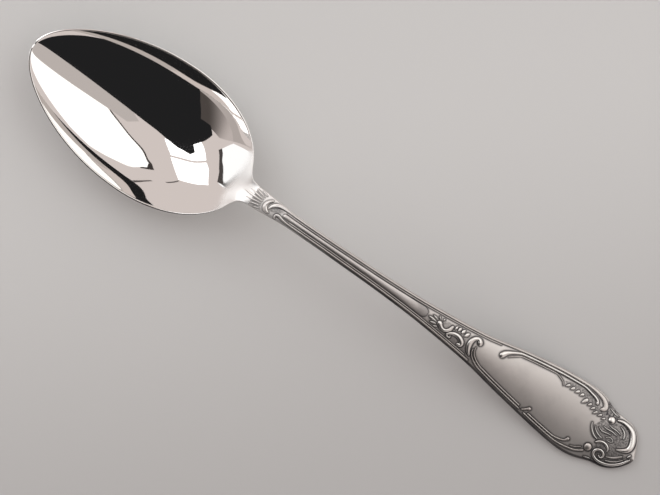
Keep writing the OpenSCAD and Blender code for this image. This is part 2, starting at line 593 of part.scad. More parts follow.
end_volute_shares = [[0.984, -0.145, 0.45], [0.974, -0.24, 0.65], [0.9565, -0.38, 0.78], [0.93, -0.51, 0.8],
  [0.9025, -0.6, 0.8], [0.871, -0.65, 0.82], [0.8425, -0.65, 0.8], [0.8185, -0.592, 0.78],
  [0.811, -0.485, 0.8], [0.8215, -0.398, 0.8], [0.842, -0.368, 0.78], [0.8595, -0.42, 0.7],
  [0.863, -0.5, 0.58], [0.854, -0.548, 0.46], [0.842, -0.52, 0.4]];
volute_band_shares = [[[0.8785, -0.43, 0.3], [0.901, -0.375, 0.55], [0.922, -0.295, 0.6], [0.94, -0.2, 0.4]],
  [[0.884, -0.53, 0.25], [0.91, -0.475, 0.36], [0.936, -0.375, 0.36], [0.955, -0.26, 0.25]]];
module end_volute() {
  color(silver) {
    blade_scroll(end_volute_shares);
    for (band = volute_band_shares)
      blade_scroll(band, bead_h, steps = 3);
  }
}

end_leaf_shares = [
  [[0.722, 0.13, 0.3], [0.731, 0.03, 0.5], [0.7475, -0.07, 0.62], [0.768, -0.145, 0.6],
    [0.788, -0.165, 0.35]],
  [[0.7425, 0.1, 0.25], [0.7595, 0.01, 0.45], [0.7825, -0.055, 0.5], [0.8055, -0.078, 0.3]],
  [[0.763, 0.14, 0.25], [0.787, 0.085, 0.48], [0.812, 0.112, 0.5], [0.834, 0.134, 0.3]],
  [[0.781, 0.222, 0.25], [0.8075, 0.212, 0.5], [0.8335, 0.228, 0.52], [0.862, 0.202, 0.25]],
  [[0.803, 0.335, 0.25], [0.825, 0.318, 0.46], [0.85, 0.318, 0.48], [0.873, 0.285, 0.28]],
  [[0.855, 0.47, 0.3], [0.876, 0.43, 0.55], [0.893, 0.345, 0.62], [0.9, 0.24, 0.35]],
  [[0.823, 0.005, 0.3], [0.8325, 0.055, 0.34], [0.8515, 0.06, 0.36], [0.862, 0.012, 0.34],
    [0.852, -0.04, 0.32], [0.8345, -0.05, 0.28]]];
module end_leaf() {
  color(silver)
    for (vein = end_leaf_shares)
      blade_scroll(vein, bead_h, steps = 3);
}

hood_shares = [[0.793, -0.25, 0.5], [0.8055, -0.185, 0.72], [0.828, -0.15, 0.85], [0.85, -0.178, 0.78],
  [0.863, -0.242, 0.58], [0.8655, -0.3, 0.32]];
module hood_scroll() {
  color(silver) blade_scroll(hood_shares);
}

edge_leaf_shares = [
  [[0.757, 0.75, 0.2], [0.776, 0.705, 0.38], [0.8, 0.675, 0.36], [0.82, 0.668, 0.15]],
  [[0.7825, -0.775, 0.15], [0.8, -0.745, 0.36], [0.8175, -0.715, 0.15]],
  [[0.967, -0.115, 0.35], [0.9745, -0.04, 0.48]]];
module edge_leaves() {
  color(silver)
    for (vein = edge_leaf_shares)
      blade_scroll(vein, bead_h, steps = 3);
}

bowl();
neck();
stem();
blade();
end_plate();
neck_leaf();
neck_scroll();
upper_edge_bead();
lower_edge_bead();
upper_fillet();
lower_fillet();
stem_rib();
leaf_spray();
ball_scroll();
c_scroll();
shell_flutes();
leaf_volute();
panel_line_pair();
panel_hook();
rim_line_pair();
lower_ball();
upper_scroll();
panel_fillet();
husk_fringe();
end_scroll();
end_ball();
end_volute();
end_leaf();
hood_scroll();
edge_leaves();
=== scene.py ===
import bpy
import math
import mathutils
import mathutils.bvhtree
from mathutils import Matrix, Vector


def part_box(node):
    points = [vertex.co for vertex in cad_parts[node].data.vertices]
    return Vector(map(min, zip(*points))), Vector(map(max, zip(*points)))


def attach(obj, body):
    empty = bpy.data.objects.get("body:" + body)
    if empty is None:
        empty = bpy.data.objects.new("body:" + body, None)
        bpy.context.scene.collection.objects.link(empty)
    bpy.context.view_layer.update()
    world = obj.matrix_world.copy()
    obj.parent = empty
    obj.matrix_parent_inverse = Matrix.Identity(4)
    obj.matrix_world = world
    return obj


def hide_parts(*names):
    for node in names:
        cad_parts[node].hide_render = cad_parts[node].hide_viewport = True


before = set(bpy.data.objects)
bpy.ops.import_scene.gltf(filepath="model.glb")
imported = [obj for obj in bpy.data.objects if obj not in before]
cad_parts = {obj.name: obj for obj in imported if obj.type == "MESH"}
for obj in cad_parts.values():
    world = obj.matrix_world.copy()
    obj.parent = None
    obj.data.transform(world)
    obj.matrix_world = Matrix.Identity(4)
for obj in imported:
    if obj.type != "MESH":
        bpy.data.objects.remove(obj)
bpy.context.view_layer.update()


# Table top: a pale grey painted board, matt, wide enough to run out of every view. It is a little
# darker towards the bottom of the picture, where less of the window's light reaches it.
TABLE_W = 7
SHADE_TURN = -42.5
SHADE_FROM = -0.1
SHADE_TO = 0.05


def to_linear(hex_colour):
    """An sRGB hex value as the linear colour that a node takes."""
    parts = [int(hex_colour[i:i + 2], 16) / 255 for i in (1, 3, 5)]
    return [c / 12.92 if c <= 0.04045 else ((c + 0.055) / 1.055) ** 2.4 for c in parts] + [1]


def set_inputs(tree, node, inputs):
    """Gives each input its value, or links it to the output that is given for it."""
    for key, value in inputs.items():
        if isinstance(value, bpy.types.NodeSocket):
            tree.links.new(value, node.inputs[key])
        else:
            node.inputs[key].default_value = value


def add_node(tree, kind, place, inputs, **settings):
    """A new node with its settings, its values and its links."""
    made = tree.nodes.new(kind)
    made.location = place
    for name, value in settings.items():
        setattr(made, name, value)
    set_inputs(tree, made, inputs)
    return made


def new_material(name):
    made = bpy.data.materials.new(name)
    made.use_nodes = True
    shader = made.node_tree.nodes["Principled BSDF"]
    return made, made.node_tree, shader


def deselect():
    bpy.ops.object.select_all(action="DESELECT")


deselect()
bpy.ops.mesh.primitive_plane_add(size=TABLE_W, location=(0, 0, 0))
table = bpy.context.object
table.name = "table_top"
board, tree, shader = new_material("board_painted_matt_grey")
place = add_node(tree, "ShaderNodeTexCoord", (-900, 0), {})
turned = add_node(tree, "ShaderNodeMapping", (-700, 0),
                  {"Vector": place.outputs["Object"], "Rotation": (0, 0, math.radians(SHADE_TURN))})
parts = add_node(tree, "ShaderNodeSeparateXYZ", (-500, 0), {"Vector": turned.outputs["Vector"]})
shade = add_node(tree, "ShaderNodeMapRange", (-300, 0),
                 {"Value": parts.outputs["Y"], "From Min": SHADE_FROM, "From Max": SHADE_TO},
                 interpolation_type="SMOOTHSTEP")
paint = add_node(tree, "ShaderNodeMix", (-150, 200),
                 {0: shade.outputs["Result"], 6: to_linear("#bbbbbb"), 7: to_linear("#d5d6d6")},
                 data_type="RGBA")
set_inputs(tree, shader, {"Base Color": paint.outputs[2], "Roughness": 0.6, "Specular IOR Level": 0.2})
table.data.materials.append(board)


# Cards and softboxes stand on a wide dome round the spoon, as they show in its mirror. Each is a fan of
# the dome, given by its corners: the azimuth from +X and the angle from straight up. A nearer one hides
# those behind it. The brown wall grows lighter from the room's dark corner to its lit side.
LIT_SIDE = (-0.715, 0.242, -0.655)
LIT_FROM = -0.4
LIT_TO = 0.8


def dome_card(name, distance, corners, colour, strength, lit_end=""):
    """A glowing card that the camera does not see. One with a lit end grows to that colour."""
    deselect()
    bpy.ops.mesh.primitive_circle_add(vertices=len(corners), radius=1, fill_type="TRIFAN")
    card = bpy.context.object
    card.name = name
    middle = mathutils.Vector((0, 0, 0))
    for i, (azimuth, from_top) in enumerate(corners):
        a = math.radians(azimuth)
        z = math.radians(from_top)
        spot = mathutils.Vector((math.sin(z) * math.cos(a), math.sin(z) * math.sin(a), math.cos(z)))
        middle += spot
        card.data.vertices[i].co = spot * distance
    card.data.vertices[len(corners)].co = middle.normalized() * distance
    glow = bpy.data.materials.new(name + "_glow")
    glow.use_nodes = True
    tree = glow.node_tree
    tree.nodes.clear()
    light = add_node(tree, "ShaderNodeEmission", (0, 0),
                     {"Color": to_linear(colour), "Strength": strength})
    add_node(tree, "ShaderNodeOutputMaterial", (300, 0), {"Surface": light.outputs["Emission"]})
    if lit_end:
        place = add_node(tree, "ShaderNodeTexCoord", (-900, 0), {})
        along = add_node(tree, "ShaderNodeVectorMath", (-700, 0),
                         {0: place.outputs["Object"], 1: LIT_SIDE}, operation="DOT_PRODUCT")
        share = add_node(tree, "ShaderNodeMapRange", (-500, 0),
                         {"Value": along.outputs["Value"], "From Min": LIT_FROM, "From Max": LIT_TO},
                         interpolation_type="SMOOTHSTEP")
        paint = add_node(tree, "ShaderNodeMix", (-250, 0),
                         {0: share.outputs["Result"], 6: to_linear(colour), 7: to_linear(lit_end)},
                         data_type="RGBA")
        set_inputs(tree, light, {"Color": paint.outputs[2]})
    card.data.materials.append(glow)
    card.visible_camera = False
    return card


softbox_corners = [(35, 18.3), (97, 30), (106, 32), (115, 44), (113, 51.5), (101, 60), (92, 67.5),
                   (81, 79.7), (72.7, 80), (59.5, 76), (45, 72), (30, 66), (16, 63), (17, 53),
                   (19.5, 40), (26, 26)]
dome_card("softbox_right", 3.2, softbox_corners, "#fffdfa", 1.3)
dome_card("softbox_frame", 3.4, [(33, 17.4), (97, 28.7), (108, 31.5), (118, 44), (118.5, 51.5), (108, 57),
                                 (101, 52), (90, 35)], "#3f3a38", 1.0)
black_corners = [(-8, 48), (-13.5, 25.7), (-15.4, 10.4), (171, 11.4), (171.3, 26.6), (174, 31),
                 (176, 37.6), (184.3, 39.6), (195.7, 36.9), (208.6, 47), (218, 56.6), (227.6, 59.3),
                 (233.7, 52.8), (243, 61.7), (249, 69.6), (257, 86), (270, 89), (291, 87), (299, 81.7),
                 (310, 72), (323, 62), (340, 52.5)]
black_card = dome_card("black_card", 2.6, black_corners, "#212122", 1.0)
# The black card shows in the mirror, and the room's light still reaches the table past it.
black_card.visible_diffuse = False
black_card.visible_shadow = False
dome_card("grey_wall", 3.3, [(-8, 48), (-14, 25), (-16, 8), (60, 4), (60, 12), (35, 18), (26, 26),
                             (19.5, 40), (17, 53), (10, 53)], "#beb6b2", 1.0)
dome_card("window_pane_far", 3.3, [(162.8, 75.9), (154, 68.2), (137.6, 57.5), (145.2, 32.2), (163, 41),
                                   (180.5, 54.5), (175, 62)], "#ffffff", 2.0)
dome_card("window_pane_near", 3.3, [(147.7, 30.2), (166.7, 14.1), (172, 20), (190, 30), (205.4, 43.7),
                                    (183.2, 53), (168, 41)], "#ffffff", 2.0)
dome_card("window_low", 3.0, [(166, 89.5), (171, 78), (182, 75.5), (192, 71.8), (204, 65.5), (211, 80),
                              (208, 89.5), (190, 89.5)], "#ffffff", 1.1)
dome_card("window_bar", 2.9, [(172, 79.5), (171, 77.5), (182, 74), (191, 70), (202.5, 63), (205, 66.9),
                              (192.5, 73.2), (182, 76.6)], "#4a4543", 1.0)
dome_card("brown_wall", 3.3, [(213, 80), (216, 64), (226, 57), (234, 50), (247, 60), (257, 82), (240, 82)],
          "#4d4744", 1.0, lit_end="#c0b6b2")
dome_card("wall_low", 3.3, [(213, 80), (240, 82), (257, 82), (259, 88), (240, 88), (212, 87)],
          "#b3aaa6", 1.0)
dome_card("ceiling_edge_near", 3.1, [(124, 65.5), (136.5, 58.6), (137.8, 59.2), (125.5, 66.2)],
          "#5a5452", 1.0)
dome_card("ceiling_edge_far", 3.1, [(103.5, 83), (113.5, 71.5), (115, 71.5), (105.5, 83)],
          "#5a5452", 1.0)

# Room behind the cards: an even, warm grey. It lights the table from all sides and shows in the mirror
# between the cards.
world = bpy.data.worlds.new("room")
bpy.context.scene.world = world
world.use_nodes = True
back = world.node_tree.nodes["Background"]
set_inputs(world.node_tree, back, {"Color": to_linear("#d5cbc7"), "Strength": 1.0})

# Camera: straight over the spoon, with a long lens, turned so that the spoon runs down to the right.
CAMERA_AT = (-0.0021, 0.00014, 1.3)
CAMERA_TURN = 34.5
LENS_MM = 223.9
camera_data = bpy.data.cameras.new("camera")
camera = bpy.data.objects.new("camera", camera_data)
bpy.context.scene.collection.objects.link(camera)
camera.location = CAMERA_AT
camera.rotation_euler = (0, 0, math.radians(CAMERA_TURN))
camera_data.sensor_width = 36
camera_data.lens = LENS_MM
camera_data.clip_end = 20
bpy.context.scene.camera = camera
bpy.context.scene.view_settings.view_transform = "Standard"

# Bowl: nickel silver sheet, struck to a pointed oval, silver plated and polished to a mirror. It runs
# into the neck as one forging. Its rings are those of the forging, rounded by subdivision so that the
# mirror has no facets.
BOWL_L = 0.084
BOWL_W = 0.046
BOWL_DEPTH = 0.0115
BOWL_WALL = 0.0015
RIM_T = 0.00055
RIM_UNDER = 0.00035
RIM_Z = BOWL_WALL + BOWL_DEPTH
NECK_RISE = 0.0045
NECK_T = 0.0032
NECK_FLARE = 0.00095
TOTAL_L = 0.23
HANDLE_L = TOTAL_L - BOWL_L
STEM_W = 0.0049
STEM_T = 0.00235
STEM_CROWN = 0.0003
BLADE_W = 0.023
BLADE_T = 0.00145
BLADE_CROWN = 0.0012
ARCH_H = 0.02
EASE = 0.0024
EDGE = 0.000245
MIDDLE_X = TOTAL_L / 2
MM = 0.001

# Shares of the bowl's length: where it is widest, and how long the rounding of its heel is. Then the
# rounding's power, how much the tip is drawn to a point, and how much of a square and of a fourth power
# the wall's curve has.
WIDEST = 0.55
HEEL_SHARE = 0.405
HEEL_ROUND = 2.1
TIP_POINT = 0.17
WALL_SQUARE = 0.55
WALL_FOURTH = 0.45

# The neck widens towards the bowl and melts into its heel. The eased wall starts at a share of the
# bowl's half width.
TAPER = 0.2
TAPER_SHARE = 0.1
MELT = 4
EASE_FROM = 0.6
EASE_SPAN = 0.28

# Shares of the handle's length: the top of the arch, the end of the neck's flare and of its swell, and
# the end of the blade, where the crown is flatter.
ARCH_AT = 0.233
FLARE_SHARE = 0.105
SWELL_SHARE = 0.2
END_FROM = 0.92
END_SPAN = 0.08
END_FLATTER = 0.5

# Along the bowl, as shares from its tip, how far it has gone from the bowl's shape to the neck's: the
# rim's height, the keel's height, the curve across, the wall, the edge, and how much the wall is eased.
rim_rise = [(0.55, 0), (0.65, 0.01), (0.72, 0.08), (0.79, 0.24), (0.84, 0.41), (0.88, 0.56),
            (0.93, 0.74), (0.965, 0.87), (1, 1)]
keel_rise = [(0.55, 0), (0.595, 0.0104), (0.655, 0.052), (0.714, 0.129), (0.774, 0.245), (0.821, 0.38),
             (0.863, 0.54), (0.905, 0.712), (0.94, 0.84), (0.97, 0.926), (1, 1)]
curve_grow = [(0.55, 0), (0.62, 0.3), (0.714, 0.6), (0.8, 0.8), (0.9, 0.95), (1, 1)]
wall_grow = [(0.55, 0), (0.65, 0), (0.726, 0.1), (0.821, 0.3), (0.863, 0.45), (0.905, 0.7),
             (0.952, 0.92), (1, 1)]
edge_grow = [(0.55, 0), (0.76, 0), (0.82, 0.08), (0.88, 0.32), (0.93, 0.6), (0.965, 0.82), (1, 1)]
ease_along = [(0.55, 0), (0.6, 0.22), (0.65, 0.65), (0.7, 1), (0.75, 0.95), (0.8, 0.6), (0.85, 0.2),
              (0.9, 0), (1, 0)]

# Along the handle, as shares from the neck: the height of its back up to the arch and down to the table,
# the turn from stem to blade, and the two edges, from the stem's half width (0) to the blade's (1).
climb = [(0, 0), (0.041, 0.33), (0.082, 0.6), (0.137, 0.85), (0.19, 0.965), (0.233, 1), (0.24, 1)]
fall = [(0.226, 1), (0.233, 1), (0.288, 0.98), (0.342, 0.93), (0.397, 0.85), (0.452, 0.75),
        (0.507, 0.635), (0.562, 0.515), (0.616, 0.395), (0.671, 0.28), (0.726, 0.18), (0.781, 0.1),
        (0.836, 0.0425), (0.88, 0.012), (0.92, 0), (0.96, 0), (1, 0.01)]
turn = [(0, 0), (0.3, 0), (0.45, 0.35), (0.57, 0.72), (0.68, 0.97), (0.8, 1), (1, 1)]
upper_edge = [(0, 0), (0.184, 0), (0.249, 0.016), (0.313, 0.032), (0.378, 0.068), (0.432, 0.115),
              (0.464, 0.157), (0.497, 0.205), (0.54, 0.275), (0.572, 0.338), (0.605, 0.42),
              (0.637, 0.534), (0.68, 0.68), (0.723, 0.8), (0.766, 0.9), (0.81, 0.967), (0.844, 0.99),
              (0.861, 0.981), (0.874, 0.938), (0.887, 0.848), (0.896, 0.777), (0.909, 0.715),
              (0.921, 0.682), (0.932, 0.667), (0.945, 0.658), (0.956, 0.629), (0.969, 0.544),
              (0.977, 0.43), (0.984, 0.278), (0.99, 0.088), (0.996, -0.121), (1, -0.264)]
lower_edge = [(0, 0), (0.184, 0), (0.249, 0.016), (0.313, 0.032), (0.378, 0.068), (0.432, 0.115),
              (0.464, 0.157), (0.497, 0.205), (0.54, 0.275), (0.572, 0.335), (0.605, 0.415),
              (0.637, 0.515), (0.68, 0.636), (0.723, 0.748), (0.766, 0.858), (0.81, 0.953), (0.844, 1),
              (0.861, 0.995), (0.874, 0.972), (0.887, 0.929), (0.896, 0.886), (0.909, 0.81),
              (0.921, 0.748), (0.932, 0.71), (0.945, 0.682), (0.956, 0.634), (0.969, 0.525),
              (0.977, 0.425), (0.984, 0.32), (0.99, 0.202), (0.996, 0.059), (1, -0.064)]


def slope(rows, i):
    a = max(i - 1, 0)
    b = min(i + 1, len(rows) - 1)
    return (rows[b][1] - rows[a][1]) / (rows[b][0] - rows[a][0])


def smooth(rows, x):
    """The height at x of the smooth curve through a table's points."""
    x = min(max(x, rows[0][0]), rows[-1][0])
    i = max(k for k in range(len(rows) - 1) if rows[k][0] <= x)
    span = rows[i + 1][0] - rows[i][0]
    u = (x - rows[i][0]) / span
    value = rows[i][1] * (1 + 2 * u) * (1 - u) ** 2 + rows[i + 1][1] * u * u * (3 - 2 * u)
    return value + span * (slope(rows, i) * u * (1 - u) ** 2 - slope(rows, i + 1) * u * u * (1 - u))


def mix(a, b, u):
    return a + (b - a) * u


def wall_curve(t):
    return WALL_SQUARE * t * t + WALL_FOURTH * t ** 4


def heel_half(x):
    u = min((x - WIDEST * BOWL_L) / (HEEL_SHARE * BOWL_L), 1)
    return BOWL_W / 2 * (1 - u ** HEEL_ROUND) ** (1 / HEEL_ROUND)


def side_half(rows, x):
    if x < BOWL_L:
        neck = STEM_W / 2 + NECK_FLARE + min(BOWL_L - x, TAPER_SHARE * BOWL_L) * TAPER
        return (heel_half(x) ** MELT + neck ** MELT) ** (1 / MELT)
    u = (x - BOWL_L) / HANDLE_L
    v = min(u / FLARE_SHARE, 1)
    return mix(STEM_W, BLADE_W, smooth(rows, u)) / 2 + NECK_FLARE * (1 - v * v * (3 - 2 * v))


def profile(x):
    """Heights and half widths of the forging at x from the bowl's tip, behind the bowl's widest place."""
    upper = side_half(upper_edge, x)
    lower = side_half(lower_edge, x)
    if x < BOWL_L:
        b = x / BOWL_L
        mid = BOWL_WALL + (RIM_Z + NECK_RISE + STEM_CROWN - BOWL_WALL) * smooth(keel_rise, b)
        edge = RIM_Z + NECK_RISE * smooth(rim_rise, b)
        neck = smooth(edge_grow, b)
        foot = mid - mix(BOWL_WALL, NECK_T, smooth(wall_grow, b))
        foot_edge = edge - mix(RIM_UNDER, NECK_T - STEM_CROWN - EDGE, neck)
        return upper, lower, mix(RIM_T, EDGE, neck), mid, edge, foot, foot_edge, smooth(curve_grow, b)
    u = (x - BOWL_L) / HANDLE_L
    neck_foot = RIM_Z + NECK_RISE + STEM_CROWN - NECK_T
    foot = mix(neck_foot, ARCH_H, smooth(climb, u)) if u < ARCH_AT else ARCH_H * max(smooth(fall, u), 0)
    blade = smooth(turn, u)
    crown = mix(STEM_CROWN, BLADE_CROWN, blade) * (1 - END_FLATTER * max((u - END_FROM) / END_SPAN, 0) ** 2)
    swell = (NECK_T - STEM_T - STEM_CROWN - EDGE) * max(1 - u / SWELL_SHARE, 0) ** 2
    mid = foot + EDGE + mix(STEM_T, BLADE_T, blade) + crown + swell
    return upper, lower, EDGE, mid, mid - crown, foot, foot + EDGE, 1


def top_at(x, y):
    """Height of the plain front at a place, without its relief."""
    upper, lower, inset, mid, edge, foot, foot_edge, neck = profile(x)
    middle = (upper - lower) / 2
    t = min(abs(y - middle) / ((upper + lower) / 2 - inset), 1)
    return mix(mid, edge, mix(wall_curve(t), t * t, neck))


# Where a ring has its corners: shares of the half width inside and under the bowl, and down the rim as
# shares of its thickness with the drop there.
INNER_T = [0, 0.16, 0.32, 0.48, 0.62, 0.75, 0.86, 0.94, 0.985, 1]
UNDER_T = [0, 0.19, 0.38, 0.56, 0.72, 0.84, 0.93, 0.985]
rim_turn = [(0.45, 0.00002), (0.08, 0.00012), (0, 0.0003)]


def both_sides(values):
    return [-t for t in reversed(values)] + [t for t in values if t > 0]


def eased_wall(x, t):
    """Lift of the bowl's lower wall towards the heel, where buffing has eased it just inside the rim."""
    u = min(max((-t - EASE_FROM) / EASE_SPAN, 0), 1)
    return EASE * smooth(ease_along, x / BOWL_L) * (1 + t) * u * u * (3 - 2 * u)


def bowl_ring(x):
    upper, lower, inset, mid, edge, foot, foot_edge, neck = profile(x)
    w = upper
    ring = []
    for t in both_sides(INNER_T):
        z = mix(mid, edge, mix(wall_curve(abs(t)), t * t, neck))
        ring.append((x, (w - inset) * t, z + eased_wall(x, t)))
    rim = [(w - inset * share, edge - drop) for share, drop in rim_turn]
    ring += [(x, y, z) for y, z in rim]
    for t in both_sides(UNDER_T):
        ring.append((x, -w * t, mix(foot, foot_edge, mix(wall_curve(abs(t)), t * t, neck))))
    ring += [(x, -y, z) for y, z in reversed(rim)]
    return ring


def tip_ring(angle):
    a = math.radians(angle)
    wide = WIDEST * BOWL_L
    rise = math.cos(a) ** 2
    shape = math.sin(a) * (1 - TIP_POINT * math.cos(a) ** 2)

    def plan(inset):
        return wide - (wide - inset) * math.cos(a), (BOWL_W / 2 - inset) * shape

    inner_x, inner_w = plan(RIM_T)
    outer_x, outer_w = plan(0)
    low = BOWL_WALL + BOWL_DEPTH * rise
    under = (RIM_Z - RIM_UNDER) * rise
    ring = [(inner_x, inner_w * t, mix(low, RIM_Z, wall_curve(abs(t)))) for t in both_sides(INNER_T)]
    for share, drop in rim_turn:
        x, w = plan(RIM_T * share)
        ring.append((x, w, RIM_Z - drop))
    for t in both_sides(UNDER_T):
        ring.append((outer_x, -outer_w * t, mix(under, RIM_Z - RIM_UNDER, wall_curve(abs(t)))))
    for share, drop in reversed(rim_turn):
        x, w = plan(RIM_T * share)
        ring.append((x, -w, RIM_Z - drop))
    return ring


MERGE = 1e-7
SHARP = math.radians(50)


def loft(name, rings):
    """Bends a grid round the rings, closes its seam and both ends, and turns its faces outward."""
    deselect()
    count = len(rings[0])
    bpy.ops.mesh.primitive_grid_add(x_subdivisions=count, y_subdivisions=len(rings) - 1, size=1)
    piece = bpy.context.object
    piece.name = name
    for j, ring in enumerate(rings):
        for i in range(count + 1):
            x, y, z = ring[i % count]
            piece.data.vertices[j * (count + 1) + i].co = (x - MIDDLE_X, y, z)
    bpy.ops.object.mode_set(mode="EDIT")
    bpy.ops.mesh.select_all(action="SELECT")
    bpy.ops.mesh.remove_doubles(threshold=MERGE)
    bpy.ops.mesh.select_all(action="SELECT")
    bpy.ops.mesh.fill_holes(sides=0)
    bpy.ops.mesh.select_all(action="SELECT")
    bpy.ops.mesh.normals_make_consistent(inside=False)
    bpy.ops.object.mode_set(mode="OBJECT")
    bpy.ops.object.shade_smooth()
    return piece


# Turns round the tip in degrees, and places along the heel in millimetres.
tip_turns = (2, 5, 9, 14, 20, 27, 34, 41, 48, 55, 62, 69, 76, 83)
bowl_stations = (47, 50, 53, 56, 59, 62, 64.5, 67, 69, 71, 73, 75, 76.5, 78, 79.5, 81, 82.5, 84, 86, 88,
                 91, 94)
rings = [tip_ring(a) for a in tip_turns] + [bowl_ring(MM * x) for x in bowl_stations]
bowl = loft("bowl_shell", rings)
round_off = bowl.modifiers.new("rounding", "SUBSURF")
round_off.levels = 3
bpy.ops.object.modifier_apply(modifier=round_off.name)
bpy.ops.object.mode_set(mode="EDIT")
bpy.ops.mesh.select_all(action="SELECT")
bpy.ops.mesh.bisect(plane_co=(BOWL_L - MIDDLE_X, 0, 0), plane_no=(1, 0, 0), clear_outer=True,
                    use_fill=True)
bpy.ops.object.mode_set(mode="OBJECT")
bpy.ops.object.shade_smooth_by_angle(angle=SHARP)

# Mirror silver: plated and buffed with rouge, so it is almost without haze. Fine wiping marks lift the
# roughness, and towards the neck the wheel did not reach, so the mirror fades into the handle's satin.
# There are 90 wiping marks to a metre, one in 11 mm.
WIPE_MARKS = 90
HEEL_FROM = -0.0415
HEEL_TO = -0.0365
HEEL_HAZE = 0.34
mirror_silver, tree, shader = new_material("silver_plate_buffed_mirror")
place = add_node(tree, "ShaderNodeTexCoord", (-900, 0), {})
wipe = add_node(tree, "ShaderNodeTexNoise", (-600, 0),
                {"Vector": place.outputs["Object"], "Scale": WIPE_MARKS, "Detail": 3, "Roughness": 0.6})
wiped = add_node(tree, "ShaderNodeMapRange", (-300, 0),
                 {"Value": wipe.outputs["Fac"], "To Min": 0.015, "To Max": 0.045})
parts = add_node(tree, "ShaderNodeSeparateXYZ", (-600, 300), {"Vector": place.outputs["Object"]})
heel = add_node(tree, "ShaderNodeMapRange", (-300, 300),
                {"Value": parts.outputs["X"], "From Min": HEEL_FROM, "From Max": HEEL_TO,
                 "To Max": HEEL_HAZE}, interpolation_type="SMOOTHSTEP")
haze = add_node(tree, "ShaderNodeMath", (-120, 100),
                {0: wiped.outputs["Result"], 1: heel.outputs["Result"]})
set_inputs(tree, shader, {"Base Color": to_linear("#f7f5f3"), "Metallic": 1,
                          "Roughness": haze.outputs["Value"]})
bowl.data.materials.append(mirror_silver)
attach(bowl, "root")
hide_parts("bowl")

# Satin silver: the struck handle, dipped dark and rubbed bright on what stands out. One attribute is 1
# where the dip was left, at the foot of the relief, and also carries painted shade along the lower edge and
# beside the relief; it is 0 on what the cloth reaches and where painted light lies on the upper edge. The
# ground attribute is 1 on the sunken ground of the ornament, which the die leaves stippled. The pale
# attribute is 1 where the colour is made lightest, at the neck.
# To a metre there are 160 patches of tarnish, one in 6 mm, and 1900 pits of the stipple, one in 0.5 mm.
# The rubbing lines are finer on the real spoon and are drawn coarser, so that they show.
PATCHES = 160
STIPPLE = 1900


def satin_silver(name, bright, dark, rough_bright, rough_dark, lines_per_metre):
    """Plated silver from its rubbed colour and roughness to those of the dark dip, which also stands for
    painted shade.
    """
    made, tree, shader = new_material(name)
    place = add_node(tree, "ShaderNodeTexCoord", (-1500, 0), {}).outputs["Object"]
    stretch = add_node(tree, "ShaderNodeMapping", (-1300, 0), {"Vector": place, "Scale": lines_per_metre})
    lines = add_node(tree, "ShaderNodeTexNoise", (-1100, 0),
                     {"Vector": stretch.outputs["Vector"], "Scale": 1, "Detail": 4, "Roughness": 0.6})
    patches = add_node(tree, "ShaderNodeTexNoise", (-1100, -300),
                       {"Vector": place, "Scale": PATCHES, "Detail": 3, "Roughness": 0.55})
    stipple = add_node(tree, "ShaderNodeTexNoise", (-1100, -600),
                       {"Vector": place, "Scale": STIPPLE, "Detail": 2, "Roughness": 0.6})
    # This attribute carries the dark dip and the painted shade at the handle's edges and feet.
    dip_and_shade = add_node(tree, "ShaderNodeAttribute", (-1100, 300), {}, attribute_name="dip_and_shade")
    ground = add_node(tree, "ShaderNodeAttribute", (-1100, 600), {}, attribute_name="ground")
    pale = add_node(tree, "ShaderNodeAttribute", (-700, 800), {}, attribute_name="pale")
    vary = add_node(tree, "ShaderNodeMapRange", (-850, -100),
                    {"Value": patches.outputs["Fac"], "From Min": 0.3, "From Max": 0.7,
                     "To Min": -0.08, "To Max": 0.08})
    speckle = add_node(tree, "ShaderNodeMapRange", (-850, -600),
                       {"Value": stipple.outputs["Fac"], "From Min": 0.36, "From Max": 0.64,
                        "To Min": 0.5, "To Max": 1})
    sunken = add_node(tree, "ShaderNodeMath", (-650, 500),
                      {0: speckle.outputs["Result"], 1: ground.outputs["Fac"]}, operation="MULTIPLY")
    deepest = add_node(tree, "ShaderNodeMath", (-650, 300),
                       {0: sunken.outputs["Value"], 1: dip_and_shade.outputs["Fac"]}, operation="MAXIMUM")
    # How much of the dark colour is used: the dip and the painted shade.
    dip_and_shade_share = add_node(tree, "ShaderNodeMath", (-500, 200),
                      {0: deepest.outputs["Value"], 1: vary.outputs["Result"]}, use_clamp=True)
    plate = add_node(tree, "ShaderNodeMix", (-500, 700),
                     {0: pale.outputs["Fac"], 6: to_linear(bright), 7: to_linear("#f4f0ed")},
                     data_type="RGBA")
    colour = add_node(tree, "ShaderNodeMix", (-300, 200),
                      {0: dip_and_shade_share.outputs["Value"], 6: plate.outputs[2], 7: to_linear(dark)},
                      data_type="RGBA")
    rough = add_node(tree, "ShaderNodeMapRange", (-300, -50),
                     {"Value": dip_and_shade_share.outputs["Value"], "To Min": rough_bright, "To Max": rough_dark})
    scratched = add_node(tree, "ShaderNodeBump", (-500, -300),
                         {"Height": lines.outputs["Fac"], "Strength": 0.12, "Distance": 0.00004})
    pitted = add_node(tree, "ShaderNodeBump", (-300, -400),
                      {"Height": stipple.outputs["Fac"], "Strength": ground.outputs["Fac"],
                       "Distance": 0.0001, "Normal": scratched.outputs["Normal"]})
    set_inputs(tree, shader, {"Base Color": colour.outputs[2], "Metallic": 1,
                              "Roughness": rough.outputs["Result"], "Normal": pitted.outputs["Normal"]})
    return made


body_silver = satin_silver("silver_plate_rubbed_satin", "#dfdad7", "#37363a", 0.46, 0.5,
                           (60, 2600, 2600))

